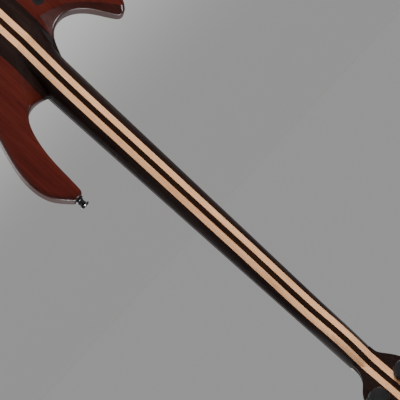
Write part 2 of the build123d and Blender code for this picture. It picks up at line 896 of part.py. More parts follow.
with BuildPart() as tuner_housings:
    for x, up, side in post_places:
        with BuildSketch(on_head(x + side * housing_shift, up, -head_thickness)):
            Circle(housing_radius)
        extrude(amount=-housing_height)
    crowns = tuner_housings.faces().filter_by(head_plane).group_by(Axis(head_plane.origin, head_plane.z_dir))
    chamfer(crowns[0].edges(), housing_bevel)
    for x, up, side in post_places:
        with BuildSketch(on_head(x, up + ear_offset, -head_thickness)):
            Circle(tuner_ear_radius)
            with Locations((0, -tuner_ear_radius)):
                Rectangle(2 * tuner_ear_radius, 2 * tuner_ear_radius)
        extrude(amount=-tuner_ear)
        with Locations(worm_plane(x, up, side, housing_shift)):
            Cylinder(
                worm_boss_radius,
                housing_radius + worm_boss,
                align=(Align.CENTER, Align.CENTER, Align.MIN),
            )
    for x, up, side in post_places:
        with Locations(on_head(x, up, -head_thickness)):
            Cylinder(post_radius + fit, 2 * post_seat, mode=Mode.SUBTRACT)
        with Locations(on_head(x, up + ear_offset, -head_thickness)):
            Cylinder(small_screw_radius + fit, 4 * tuner_ear, mode=Mode.SUBTRACT)
        with Locations(worm_plane(x, up, side, 0)):
            Cylinder(
                worm_shaft_radius + fit,
                2 * housing_radius,
                align=(Align.CENTER, Align.CENTER, Align.MIN),
                mode=Mode.SUBTRACT,
            )
tuner_housings.part.label = "tuner_housings"

with BuildPart() as tuner_bushings:
    for x, up, side in post_places:
        with BuildSketch(on_head(x, up, veneer_thickness - bushing_barrel)):
            Circle(bushing_barrel_radius)
            Circle(post_radius + fit, mode=Mode.SUBTRACT)
        extrude(amount=bushing_barrel)
        with BuildSketch(on_head(x, up, veneer_thickness)):
            Circle(bushing_flange_radius)
            Circle(post_radius + fit, mode=Mode.SUBTRACT)
        extrude(amount=bushing_flange)
tuner_bushings.part.label = "tuner_bushings"

with BuildPart() as head_screws:
    for x, up, side in post_places:
        seat = on_head(x, up + ear_offset, -head_thickness - tuner_ear).rotated((180, 0, 0))
        add_screw(
            seat, small_screw_head_radius, small_screw_head, small_screw_radius, small_screw_length
        )
    for x, up in truss_screw_places:
        seat = on_head(x, up, veneer_thickness + truss_cover_thickness)
        add_screw(
            seat, small_screw_head_radius, small_screw_head, small_screw_radius, small_screw_length
        )
head_screws.part.label = "head_screws"

post_low = -head_thickness - post_seat + fit
post_waist = veneer_thickness + bushing_flange + post_waist_start
tuner_posts = []
tuner_buttons = []
for number, (x, up, side) in enumerate(post_places, start=1):
    root = head_plane.from_local_coords((x, up, 0))
    across = Plane(origin=root, x_dir=(1, 0, 0), z_dir=-head_plane.y_dir)
    with BuildPart() as post:
        with BuildSketch(across):
            with BuildLine():
                Polyline((0, post_low), (post_radius, post_low), (post_radius, post_waist))
                ThreePointArc(
                    (post_radius, post_waist),
                    (post_waist_radius, string_height),
                    (post_radius, 2 * string_height - post_waist),
                )
                Polyline(
                    (post_radius, 2 * string_height - post_waist),
                    (post_radius, post_top - post_chamfer),
                    (post_radius - post_chamfer, post_top),
                    (0, post_top),
                    (0, post_low),
                )
            make_face()
        revolve(axis=Axis(root, head_plane.z_dir))
    post.part.label = f"tuner_post_{number}"
    tuner_posts.append(post.part)
    face_height = -head_thickness - housing_height / 2 - button_thickness / 2
    with BuildPart() as button:
        with BuildSketch(on_head(x + side * button_place, up - worm_offset, face_height)):
            Ellipse(button_length / 2, button_width / 2)
        extrude(amount=button_thickness)
        chamfer(button.faces().filter_by(head_plane).edges(), button_bevel)
        with BuildSketch(worm_plane(x, up, side, worm_start)):
            Circle(worm_shaft_radius)
        extrude(amount=button_place - worm_start)
        with BuildSketch(worm_plane(x, up, side, button_place - button_length / 2 - button_collar)):
            Circle(worm_shaft_radius + button_collar_grow)
        extrude(amount=2 * button_collar)
    button.part.label = f"tuner_button_{number}"
    tuner_buttons.append(button.part)

# ---- bridge, saddles, strings ----
with BuildPart() as bridge_base:
    with BuildSketch(front_plane):
        with Locations((0, bridge_low_z + bridge_length / 2)):
            RectangleRounded(bridge_width, bridge_length, bridge_corner)
    extrude(amount=bridge_plate)
    with BuildSketch(front_plane):
        with Locations((0, bridge_low_z + bridge_wall / 2)):
            RectangleRounded(bridge_width, bridge_wall, bridge_wall_corner)
    extrude(amount=bridge_wall_height)
    with BuildSketch(Plane.XY.offset(bridge_low_z)):
        with Locations(*[(x, anchor_y) for x in strings_at_anchor]):
            Circle(string_hole_radius)
        with Locations(*[(x, screw_line_y) for x in course_places]):
            Circle(intonation_screw_radius + fit)
    extrude(amount=bridge_wall, mode=Mode.SUBTRACT)
    for plane in bridge_screw_planes:
        with Locations(plane):
            Cylinder(wood_screw_radius + fit, 3 * bridge_plate, mode=Mode.SUBTRACT)
bridge_base.part.label = "bridge_base"

saddle_bottom_y = plate_top_y - slide_gap
saddle_ridge_y = saddle_line_y - saddle_ridge_rise
string_drop = (anchor_y - saddle_line_y) / (saddle_z - wall_high_z)
groove_y = saddle_line_y + saddle_travel * string_drop + slide_gap
saddles = []
for number, middle in enumerate(course_places, start=1):
    with BuildPart() as saddle:
        with BuildSketch(Plane.YZ.offset(middle - saddle_width / 2)):
            with BuildLine():
                block_y = saddle_bottom_y - saddle_block
                Polyline(
                    (saddle_bottom_y, saddle_z - saddle_back),
                    (saddle_bottom_y, saddle_z - saddle_back + saddle_length),
                    (block_y, saddle_z - saddle_back + saddle_length),
                    (saddle_ridge_y + saddle_ridge, saddle_z + saddle_ridge),
                )
                ThreePointArc(
                    (saddle_ridge_y + saddle_ridge, saddle_z + saddle_ridge),
                    (saddle_ridge_y, saddle_z),
                    (saddle_ridge_y + saddle_ridge, saddle_z - saddle_ridge),
                )
                Polyline(
                    (saddle_ridge_y + saddle_ridge, saddle_z - saddle_ridge),
                    (block_y, saddle_z - saddle_slope),
                    (block_y, saddle_z - saddle_back),
                    (saddle_bottom_y, saddle_z - saddle_back),
                )
            make_face()
        extrude(amount=saddle_width)
        with BuildSketch(Plane.XY.offset(saddle_z - saddle_back)):
            with Locations((middle, screw_line_y)):
                Circle(intonation_screw_radius + fit)
        extrude(amount=saddle_length, mode=Mode.SUBTRACT)
        for partner in (2 * number - 2, 2 * number - 1):
            groove_x = strings_at_saddle[partner]
            groove = 2 * string_radii[partner] + 2 * slide_gap
            with Locations((groove_x, groove_y, saddle_z)):
                Box(
                    groove,
                    2 * saddle_block,
                    saddle_length * 2,
                    align=(Align.CENTER, Align.MAX, Align.CENTER),
                    mode=Mode.SUBTRACT,
                )
    saddle.part.label = f"saddle_{number}"
    saddles.append(saddle.part)

with BuildPart() as intonation_screws:
    for x in course_places:
        with Locations(Plane(origin=(x, screw_line_y, bridge_low_z), z_dir=(0, 0, -1))):
            Cylinder(
                intonation_head_radius, intonation_head, align=(Align.CENTER, Align.CENTER, Align.MIN)
            )
            Cylinder(
                intonation_screw_radius,
                bridge_back + saddle_length - saddle_back + saddle_travel,
                align=(Align.CENTER, Align.CENTER, Align.MAX),
            )
intonation_screws.part.label = "intonation_screws"

with BuildPart() as bridge_screws:
    for plane in bridge_screw_planes:
        seat = plane.offset(bridge_plate)
        add_screw(seat, screw_head_radius, screw_head, wood_screw_radius, wood_screw_length)
bridge_screws.part.label = "bridge_screws"

with BuildPart() as strings:
    for path, radius in zip(string_paths, string_radii):
        with BuildLine(mode=Mode.PRIVATE) as line:
            Polyline(path)
        with BuildSketch(Plane(origin=path[0], z_dir=path[1] - path[0])):
            Circle(radius)
        sweep(path=line.wires()[0], transition=Transition.RIGHT)
        # the ball end is a short brass barrel that lies across the string
        with Locations(Plane(origin=path[0], x_dir=(1, 0, 0), z_dir=(0, -1, 0))):
            Cylinder(ball_radius, ball_width)
strings.part.label = "strings"

# ---- pickups ----
pickups = []
for name, z in (("pickup_neck", neck_pickup_z), ("pickup_bridge", bridge_pickup_z)):
    with BuildPart() as pickup:
        with BuildSketch(Plane.XZ.offset(-front_y - pickup_depth)):
            with Locations((0, z)):
                RectangleRounded(pickup_width, pickup_length, pickup_corner)
        extrude(amount=pickup_depth + pickup_rise)
        top = pickup.faces().sort_by(Axis.Y)[0]
        fillet(top.edges(), pickup_edge_round)
        with BuildSketch(Plane.XZ.offset(-front_y + pickup_rise)):
            with Locations((0, z - rail_gap / 2), (0, z + rail_gap / 2)):
                SlotOverall(rail_width + 2 * fit, rail_thickness + 2 * fit)
        extrude(amount=-rail_depth, mode=Mode.SUBTRACT)
        for plane in pickup_screw_planes:
            if abs(plane.origin.Z - z) < 1:
                with Locations(plane.offset(pickup_depth + pickup_rise)):
                    Cylinder(screw_head_radius + slide_gap, 2 * screw_recess, mode=Mode.SUBTRACT)
                    Cylinder(wood_screw_radius + fit, 2 * body_thickness, mode=Mode.SUBTRACT)
    pickup.part.label = name
    pickups.append(pickup.part)

with BuildPart() as pickup_rails:
    with BuildSketch(Plane.XZ.offset(-front_y + pickup_rise + rail_rise)):
        for z in (neck_pickup_z, bridge_pickup_z):
            with Locations((0, z - rail_gap / 2), (0, z + rail_gap / 2)):
                SlotOverall(rail_width, rail_thickness)
    extrude(amount=-rail_depth - rail_rise)
pickup_rails.part.label = "pickup_rails"

with BuildPart() as pickup_screws:
    shank = pickup_depth + pickup_rise - screw_recess + wood_screw_length
    for plane in pickup_screw_planes:
        seat = plane.offset(pickup_depth + pickup_rise - screw_recess)
        add_screw(seat, screw_head_radius, screw_head, wood_screw_radius, shank)
pickup_screws.part.label = "pickup_screws"

# ---- controls ----
with BuildPart() as control_cover:
    add(extrude(build_cover_outline(back_plane, 0, True), amount=cover_thickness, mode=Mode.PRIVATE))
    for plane in cover_screw_planes:
        with Locations(plane):
            Cylinder(wood_screw_radius + fit, 4 * cover_thickness, mode=Mode.SUBTRACT)
control_cover.part.label = "control_cover"

with BuildPart() as cover_screws:
    for plane in cover_screw_planes:
        seat = plane.offset(cover_thickness)
        add_screw(
            seat, cover_screw_head_radius, cover_screw_head, wood_screw_radius, wood_screw_length
        )
cover_screws.part.label = "cover_screws"

floor_plane = Plane.XZ.offset(-front_y - cavity_floor)
with BuildPart() as potentiometers:
    with BuildSketch(floor_plane):
        with Locations(*knob_places.values()):
            Circle(pot_radius)
    extrude(amount=-pot_height)
    with BuildSketch(floor_plane):
        with Locations(*knob_places.values()):
            Circle(pot_thread_radius)
    extrude(amount=cavity_floor + pot_nut)
    with BuildSketch(front_plane):
        with Locations(*knob_places.values()):
            RegularPolygon(pot_nut_radius, 6)
    extrude(amount=pot_nut)
    with BuildSketch(Plane.XZ.offset(-front_y + pot_nut)):
        with Locations(*knob_places.values()):
            Circle(shaft_radius + fit)
    extrude(amount=-pot_nut - cavity_floor - shaft_seat, mode=Mode.SUBTRACT)
potentiometers.part.label = "potentiometers"

knob_low_y = front_y - knob_gap
knob_shafts = []
knobs = []
for name, (x, z) in knob_places.items():
    with BuildPart() as shaft:
        with BuildSketch(Plane.XZ.offset(-front_y - cavity_floor - shaft_seat + slide_gap)):
            with Locations((x, z)):
                Circle(shaft_radius)
        extrude(amount=cavity_floor + shaft_seat + knob_height - knob_top)
    shaft.part.label = f"knob_shaft_{name}"
    knob_shafts.append(shaft.part)
    with BuildPart() as knob:
        with BuildSketch(Plane.XZ.offset(-knob_low_y)):
            with Locations((x, z)):
                Circle(knob_radius)
        extrude(amount=knob_height)
        chamfer(knob.faces().sort_by(Axis.Y)[0].edges(), knob_chamfer)
        with BuildSketch(Plane.XZ.offset(-knob_low_y + knob_skirt)):
            with Locations((x, z)):
                with PolarLocations(knob_radius + knob_flute_out, knob_flutes):
                    Circle(knob_flute_radius)
        extrude(amount=knob_height, mode=Mode.SUBTRACT)
        with BuildSketch(Plane.XZ.offset(-knob_low_y)):
            with Locations((x, z)):
                Circle(pot_nut_radius + knob_nut_gap)
        extrude(amount=pot_nut + knob_nut_clearance, mode=Mode.SUBTRACT)
        with BuildSketch(Plane.XZ.offset(-knob_low_y)):
            with Locations((x, z)):
                Circle(shaft_radius)
        extrude(amount=knob_height - knob_top, mode=Mode.SUBTRACT)
    knob.part.label = f"knob_{name}"
    knobs.append(knob.part)

toggle_x, toggle_z = toggle_place
with BuildPart() as toggle_switch:
    with BuildSketch(floor_plane):
        with Locations(toggle_place):
            Rectangle(toggle_body_width, toggle_body_length)
    extrude(amount=-toggle_body_depth)
    with BuildSketch(floor_plane):
        with Locations(toggle_place):
            Circle(toggle_thread_radius)
    extrude(amount=cavity_floor + toggle_nut)
    with BuildSketch(front_plane):
        with Locations(toggle_place):
            Circle(toggle_nut_radius)
    extrude(amount=toggle_nut)
    with BuildSketch(Plane.XZ.offset(-front_y + toggle_nut)):
        with Locations(toggle_place):
            Circle(toggle_bore_radius)
    extrude(amount=-toggle_nut - toggle_pivot_depth - toggle_ball - slide_gap, mode=Mode.SUBTRACT)
toggle_switch.part.label = "toggle_switch"

with BuildPart() as toggle_lever:
    pivot = (toggle_x, front_y + toggle_pivot_depth, toggle_z)
    ball_edge = -math.sqrt(toggle_ball**2 - toggle_neck**2)
    stem_end = (toggle_stem, toggle_stem_end - toggle_length)
    tip_start = (toggle_tip, toggle_tip_start - toggle_length)
    tip_rim = (toggle_tip, toggle_tip_chamfer - toggle_length)
    tip_end = (toggle_tip_end, -toggle_length)
    with BuildSketch(Plane(origin=pivot, x_dir=(1, 0, 0), z_dir=(0, 0, 1))):
        with BuildLine():
            ThreePointArc((0, toggle_ball), (toggle_ball, 0), (toggle_neck, ball_edge))
            Polyline((toggle_neck, ball_edge), stem_end, tip_start, tip_rim, tip_end)
            Polyline(tip_end, (0, -toggle_length), (0, toggle_ball))
        make_face()
    revolve(axis=Axis(pivot, (0, 1, 0)))
toggle_lever.part.label = "toggle_lever"

with BuildPart() as output_jack:
    with Locations(jack_plane):
        Cylinder(jack_flange_radius, jack_flange, align=(Align.CENTER, Align.CENTER, Align.MAX))
        Cylinder(jack_barrel_radius, jack_barrel_length, align=(Align.CENTER, Align.CENTER, Align.MAX))
        Cylinder(
            jack_socket_radius,
            2 * jack_socket_depth,
            mode=Mode.SUBTRACT,
        )
output_jack.part.label = "output_jack"

# ---- strap buttons ----
with BuildPart() as strap_buttons:
    for plane in strap_planes:
        along = Plane(origin=plane.origin, x_dir=(1, 0, 0), z_dir=(0, -plane.z_dir.Z, 0))
        top = strap_button_height
        with BuildSketch(along):
            with BuildLine():
                Polyline(
                    (strap_screw_radius + fit, 0),
                    (strap_base_radius, 0),
                    (strap_base_radius, strap_base),
                )
                ThreePointArc(
                    (strap_base_radius, strap_base),
                    (strap_waist_radius, strap_waist),
                    (strap_head_radius, top - strap_rim),
                )
                Polyline(
                    (strap_head_radius, top - strap_rim),
                    (strap_head_radius - strap_rim_chamfer, top),
                    (strap_recess_radius, top),
                    (strap_recess_radius, top - strap_recess),
                    (strap_screw_radius + fit, top - strap_recess),
                    (strap_screw_radius + fit, 0),
                )
            make_face()
        revolve(axis=Axis(plane.origin, plane.z_dir))
strap_buttons.part.label = "strap_buttons"

with BuildPart() as strap_button_screws:
    for plane in strap_planes:
        seat = plane.offset(strap_button_height - strap_recess)
        shank = strap_button_height - strap_recess + strap_screw_length - strap_bore_end
        head = strap_recess_radius - strap_recess_gap
        add_screw(seat, head, strap_screw_head, strap_screw_radius, shank)
strap_button_screws.part.label = "strap_button_screws"

# ---- one file for each sub-part ----
os.makedirs("parts", exist_ok=True)
built = [
    neck_centre_ply,
    neck_maple_ply_bass,
    neck_maple_ply_treble,
    neck_outer_ply_bass,
    neck_outer_ply_treble,
    body_wing_bass,
    body_wing_treble,
    fretboard.part,
    frets.part,
    fret_markers.part,
    nut.part,
    head_veneer.part,
    truss_rod.part,
    truss_rod_nut.part,
    truss_rod_cover.part,
    tuner_housings.part,
    tuner_bushings.part,
    head_screws.part,
    bridge_base.part,
    intonation_screws.part,
    bridge_screws.part,
    strings.part,
    pickup_rails.part,
    pickup_screws.part,
    control_cover.part,
    cover_screws.part,
    potentiometers.part,
    toggle_switch.part,
    toggle_lever.part,
    output_jack.part,
    strap_buttons.part,
    strap_button_screws.part,
    *tuner_posts,
    *tuner_buttons,
    *saddles,
    *pickups,
    *knob_shafts,
    *knobs,
]
for piece in built:
    export_step(piece, f"parts/{piece.label}.step")
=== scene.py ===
import json
import math

import bmesh
import bpy
from mathutils import Matrix, Vector


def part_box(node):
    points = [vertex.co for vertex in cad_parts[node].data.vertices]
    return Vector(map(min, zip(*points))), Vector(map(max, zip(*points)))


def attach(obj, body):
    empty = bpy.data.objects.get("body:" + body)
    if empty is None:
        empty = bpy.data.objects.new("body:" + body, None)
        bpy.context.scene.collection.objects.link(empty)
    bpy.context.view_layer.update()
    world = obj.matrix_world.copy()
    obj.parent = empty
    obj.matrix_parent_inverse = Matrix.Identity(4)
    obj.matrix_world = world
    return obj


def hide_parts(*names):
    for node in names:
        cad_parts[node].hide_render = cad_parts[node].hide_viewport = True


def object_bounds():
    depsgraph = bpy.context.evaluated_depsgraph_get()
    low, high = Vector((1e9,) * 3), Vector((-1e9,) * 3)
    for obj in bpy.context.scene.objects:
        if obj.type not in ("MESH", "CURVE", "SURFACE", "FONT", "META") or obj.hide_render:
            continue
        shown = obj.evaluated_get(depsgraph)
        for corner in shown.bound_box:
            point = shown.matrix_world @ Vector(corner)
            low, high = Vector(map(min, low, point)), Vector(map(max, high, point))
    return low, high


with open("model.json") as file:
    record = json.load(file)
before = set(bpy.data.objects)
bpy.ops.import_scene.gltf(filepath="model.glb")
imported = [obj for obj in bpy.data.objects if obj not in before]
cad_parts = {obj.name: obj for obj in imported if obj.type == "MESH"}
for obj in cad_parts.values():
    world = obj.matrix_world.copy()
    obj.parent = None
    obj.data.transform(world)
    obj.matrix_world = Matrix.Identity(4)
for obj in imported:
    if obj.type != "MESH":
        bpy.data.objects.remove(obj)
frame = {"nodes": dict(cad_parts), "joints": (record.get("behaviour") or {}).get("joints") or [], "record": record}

cad_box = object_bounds()

# The neck's middle ply. A thin board of dark wenge stood on edge, glued between two maple
# boards and carved with them, from the end of the body to the top of the head.
# It is oiled, so its open pores show as short dark lines along the neck.
weld_distance = 1e-6
body_of_node = {}
for body_name, node_names in frame["record"]["behaviour"]["bodies"].items():
    for node_name in node_names:
        body_of_node[node_name] = body_name


def put_in_scene(bm, name, finish):
    """An object made from a finished bmesh, which is freed."""
    mesh = bpy.data.meshes.new(name)
    bm.to_mesh(mesh)
    bm.free()
    mesh.materials.append(finish)
    piece = bpy.data.objects.new(name, mesh)
    bpy.context.scene.collection.objects.link(piece)
    return piece


def shade_smooth(bm, sharp):
    """Smooth faces, with a crisp edge wherever two of them turn by more than the sharp angle."""
    for face in bm.faces:
        face.smooth = True
    for edge in bm.edges:
        edge.smooth = edge.is_manifold and edge.calc_face_angle(0) < math.radians(sharp)


def fair_copy(node, finish, sharp=35):
    """The node's own shape with its loose facets joined, so that carved curves shade as curves."""
    bm = bmesh.new()
    bm.from_mesh(frame["nodes"][node].data)
    bmesh.ops.remove_doubles(bm, verts=bm.verts, dist=weld_distance)
    for face in bm.faces:
        face.material_index = 0
    shade_smooth(bm, sharp)
    piece = put_in_scene(bm, node + "_surface", finish)
    evening = piece.modifiers.new("even_curves", "WEIGHTED_NORMAL")
    evening.keep_sharp = True
    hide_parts(node)
    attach(piece, body_of_node[node])


def new_finish(name):
    """A new material, its node tree and its shader."""
    made = bpy.data.materials.new(name)
    made.use_nodes = True
    return made, made.node_tree, made.node_tree.nodes["Principled BSDF"]


def object_place(tree, scale=(1, 1, 1), offset=(0, 0, 0)):
    """The object's own coordinates, scaled and moved."""
    place = tree.nodes.new("ShaderNodeTexCoord")
    mapping = tree.nodes.new("ShaderNodeMapping")
    mapping.inputs["Location"].default_value = offset
    mapping.inputs["Scale"].default_value = scale
    tree.links.new(place.outputs["Object"], mapping.inputs["Vector"])
    return mapping.outputs["Vector"]


def add_noise(tree, place, scale, detail, roughness=0.5, distortion=0.0):
    """A noise pattern over the given coordinates."""
    noise = tree.nodes.new("ShaderNodeTexNoise")
    noise.inputs["Scale"].default_value = scale
    noise.inputs["Detail"].default_value = detail
    noise.inputs["Roughness"].default_value = roughness
    noise.inputs["Distortion"].default_value = distortion
    tree.links.new(place, noise.inputs["Vector"])
    return noise.outputs["Fac"]


def add_ramp(tree, pattern, stops):
    """A pattern's tones, from stops of a position and a tone in rising order."""
    ramp = tree.nodes.new("ShaderNodeValToRGB")
    elements = ramp.color_ramp.elements
    for element, (position, tone) in zip(elements, (stops[0], stops[-1])):
        element.position = position
        element.color = (*tone, 1)
    for position, tone in stops[1:-1]:
        elements.new(position).color = (*tone, 1)
    tree.links.new(pattern, ramp.inputs["Fac"])
    return ramp.outputs["Color"]


def drive_roughness(tree, pattern, low, high):
    """Roughness that runs with a pattern from low to high."""
    span = tree.nodes.new("ShaderNodeMapRange")
    span.inputs["To Min"].default_value = low
    span.inputs["To Max"].default_value = high
    tree.links.new(pattern, span.inputs["Value"])
    tree.links.new(span.outputs["Result"], tree.nodes["Principled BSDF"].inputs["Roughness"])


def add_relief(tree, pattern, strength, distance, sunk=False):
    """A pattern as fine relief, raised or sunk."""
    bump = tree.nodes.new("ShaderNodeBump")
    bump.inputs["Strength"].default_value = strength
    bump.inputs["Distance"].default_value = distance
    bump.invert = sunk
    tree.links.new(pattern, bump.inputs["Height"])
    tree.links.new(bump.outputs["Normal"], tree.nodes["Principled BSDF"].inputs["Normal"])


def wood(name, tones, figure, streak, pores, pore_tone, roughness, coat=0.0, gloss=0.15):
    """A board with its grain along the neck: tones dark to light, figure and streak across it."""
    made, tree, shader = new_finish(name)
    shader.inputs["Coat Weight"].default_value = coat
    shader.inputs["Coat Roughness"].default_value = 0.12
    shader.inputs["Specular IOR Level"].default_value = gloss

    figure_place = object_place(tree, (1, 1, 0.09), (0.3, 0.1, 0.2))
    broad = add_noise(tree, figure_place, figure, detail=5, roughness=0.62, distortion=0.9)
    streak_place = object_place(tree, (1, 1, 0.03), (0, 0.4, 0))
    fine = add_noise(tree, streak_place, streak, detail=4)
    fine_share = 0.45
    broad_part = tree.nodes.new("ShaderNodeMath")
    broad_part.operation = "MULTIPLY"
    broad_part.inputs[1].default_value = 1 - fine_share
    tree.links.new(broad, broad_part.inputs[0])
    grain = tree.nodes.new("ShaderNodeMath")
    grain.operation = "MULTIPLY_ADD"
    grain.inputs[1].default_value = fine_share
    tree.links.new(fine, grain.inputs[0])
    tree.links.new(broad_part.outputs["Value"], grain.inputs[2])
    dark, middle, light = tones
    board = add_ramp(tree, grain.outputs["Value"], [(0.36, dark), (0.5, middle), (0.64, light)])

    pore_place = object_place(tree, (1, 1, 0.045), (0.2, 0, 0.7))
    open_pore = tree.nodes.new("ShaderNodeMapRange")
    open_pore.inputs["From Min"].default_value = 0.58
    open_pore.inputs["From Max"].default_value = 0.68
    tree.links.new(add_noise(tree, pore_place, pores, detail=2), open_pore.inputs["Value"])
    darken = tree.nodes.new("ShaderNodeMix")
    darken.data_type = "RGBA"
    darken.blend_type = "MULTIPLY"
    darken.inputs["B"].default_value = (pore_tone, pore_tone * 0.92, pore_tone * 0.85, 1)
    tree.links.new(open_pore.outputs["Result"], darken.inputs["Factor"])
    tree.links.new(board, darken.inputs["A"])
    tree.links.new(darken.outputs["Result"], shader.inputs["Base Color"])

    drive_roughness(tree, grain.outputs["Value"], roughness - 0.06, roughness + 0.12)
    add_relief(tree, open_pore.outputs["Result"], strength=0.12, distance=0.0002, sunk=True)
    return made


centre_wenge = wood(
    "dark_centre_ply",
    tones=[(0.006, 0.0018, 0.0006), (0.012, 0.004, 0.0014), (0.021, 0.008, 0.003)],
    figure=60, streak=900, pores=1500, pore_tone=0.5, roughness=0.3,
)
fair_copy("neck_centre_ply", centre_wenge)

# The two pale plies. Hard maple boards on each side of the middle ply, which stiffen the neck.
# Their grain is fine and even, with a faint figure along it, and the oil has warmed them.
pale_maple = wood(
    "pale_maple",
    tones=[(0.60, 0.29, 0.14), (0.72, 0.37, 0.18), (0.82, 0.45, 0.24)],
    figure=45, streak=700, pores=1900, pore_tone=0.86, roughness=0.34, gloss=0.3,
)
fair_copy("neck_maple_ply_bass", pale_maple)
fair_copy("neck_maple_ply_treble", pale_maple)

# The outer plies. Wide boards of dark wood that form the neck's round sides, the middle of the
# body's back and both halves of the head, carved to shape after gluing.
outer_dark = wood(
    "dark_outer_ply",
    tones=[(0.0055, 0.0022, 0.0016), (0.0105, 0.0045, 0.0034), (0.018, 0.009, 0.007)],
    figure=50, streak=800, pores=1400, pore_tone=0.55, roughness=0.28,
)
fair_copy("neck_outer_ply_bass", outer_dark)
fair_copy("neck_outer_ply_treble", outer_dark)

# The body's two wings. Red-brown bubinga, glued to the block's sides, with rounded rims and a
# carved scoop at the neck. The wood is oiled and rubbed to a soft gloss.
red_bubinga = wood(
    "red_wing_wood",
    tones=[(0.034, 0.0026, 0.0012), (0.050, 0.0050, 0.0024), (0.070, 0.0090, 0.0048)],
    figure=30, streak=420, pores=1100, pore_tone=0.65, roughness=0.27, gloss=0.22,
)
fair_copy("body_wing_bass", red_bubinga)
fair_copy("body_wing_treble", red_bubinga)

# The fretboard. A tapered board of near-black rosewood, glued on the neck's flat front and
# sawn across for the frets. It is oiled and buffed, never lacquered.
dark_rosewood = wood(
    "oiled_rosewood",
    tones=[(0.010, 0.006, 0.005), (0.022, 0.012, 0.010), (0.042, 0.022, 0.016)],
    figure=55, streak=900, pores=1300, pore_tone=0.5, roughness=0.46, coat=0.05,
)
fair_copy("fretboard", dark_rosewood)


# The frets. Nickel-silver wire with a round crown, pressed into the saw cuts and dressed level.
# The crowns are polished along the neck, which leaves fine scratches in that direction.
def worn_metal(name, tone, roughness, scratch, grain, metallic=1.0, coat=0.0, stretch=(1, 1, 1)):
    """Metal with a drifting tone and polish, and fine scratches or cast grain in its surface."""
    made, tree, shader = new_finish(name)
    shader.inputs["Metallic"].default_value = metallic
    shader.inputs["Coat Weight"].default_value = coat
    shader.inputs["Coat Roughness"].default_value = 0.2
    patches = add_noise(tree, object_place(tree), scale=160, detail=4)
    dulled = (tone[0] * 0.75, tone[1] * 0.75, tone[2] * 0.74)
    tones = add_ramp(tree, patches, [(0.3, dulled), (0.7, tone)])
    tree.links.new(tones, shader.inputs["Base Color"])
    drive_roughness(tree, patches, roughness - 0.07, roughness + 0.1)
    marks = add_noise(tree, object_place(tree, stretch), grain, detail=3)
    add_relief(tree, marks, scratch, distance=0.0001)
    return made


nickel_silver = worn_metal(
    "nickel_silver", (0.66, 0.63, 0.56),
    roughness=0.22, scratch=0.1, grain=2600, stretch=(1, 1, 0.1),
)
fair_copy("frets", nickel_silver, sharp=50)

# The position markers. Round dots of shell, let into the fretboard and sanded flush with it.
# Their colour drifts between cream, pink and grey as the layers of shell turn.
shell, shell_tree, shell_shader = new_finish("shell_dot")
shell_shader.inputs["Roughness"].default_value = 0.18
shell_shader.inputs["Coat Weight"].default_value = 0.4
shell_layers = add_noise(shell_tree, object_place(shell_tree), scale=420, detail=2, distortion=2.2)
shell_tones = add_ramp(
    shell_tree,
    shell_layers,
    [(0, (0.50, 0.52, 0.52)), (0.5, (0.80, 0.68, 0.66)), (1, (0.86, 0.83, 0.76))],
)
shell_tree.links.new(shell_tones, shell_shader.inputs["Base Color"])
fair_copy("fret_markers", shell)


# The nut. A bar of polished bone, glued against the end of the fretboard, with one filed slot
# for each string. Bone has a faint grain and warms with handling.
def moulded(name, tone, roughness, grain, relief, coat=0.0, gloss=0.5):
    """Plastic or bone: nearly even in colour, with a fine grain in the surface."""
    made, tree, shader = new_finish(name)
    shader.inputs["Coat Weight"].default_value = coat
    shader.inputs["Coat Roughness"].default_value = 0.15
    shader.inputs["Specular IOR Level"].default_value = gloss
    tint = add_noise(tree, object_place(tree), scale=70, detail=4)
    dulled = (tone[0] * 0.78, tone[1] * 0.77, tone[2] * 0.75)
    tones = add_ramp(tree, tint, [(0, dulled), (1, tone)])
    tree.links.new(tones, shader.inputs["Base Color"])
    drive_roughness(tree, tint, roughness + 0.08, roughness - 0.08)
    pebbles = add_noise(tree, object_place(tree), grain, detail=2)
    add_relief(tree, pebbles, relief, distance=0.0001)
    return made


bone = moulded("polished_bone", (0.78, 0.70, 0.54), roughness=0.3, grain=900, relief=0.08)
fair_copy("nut", bone)

# The head's face. A thin sheet of dark wood glued over the joints of the plies, drilled for the
# tuners and lacquered to a shine.
face_wood = wood(
    "head_face_wood",
    tones=[(0.010, 0.003, 0.002), (0.022, 0.007, 0.004), (0.042, 0.014, 0.009)],
    figure=40, streak=600, pores=1300, pore_tone=0.5, roughness=0.26, coat=0.4, gloss=0.3,
)
fair_copy("head_veneer", face_wood)

# The truss rod. A steel rod in a channel under the fretboard, with a threaded end in the head's
# pocket and a brass nut that takes a key. Neither is plated.
bare_steel = worn_metal(
    "bare_steel_rod", (0.42, 0.41, 0.40), roughness=0.4, scratch=0.2, grain=1500
)
turned_brass = worn_metal(
    "turned_brass", (0.62, 0.44, 0.19), roughness=0.3, scratch=0.15, grain=1800
)
fair_copy("truss_rod", bare_steel)
fair_copy("truss_rod_nut", turned_brass, sharp=25)

# The truss rod's cover. A thin three-cornered plate of black plastic with softened edges,
# held over the pocket by three small screws.
gloss_black = moulded(
    "black_gloss_plate", (0.016, 0.016, 0.017), roughness=0.2, grain=1300, relief=0.05, coat=0.3
)
fair_copy("truss_rod_cover", gloss_black, sharp=25)

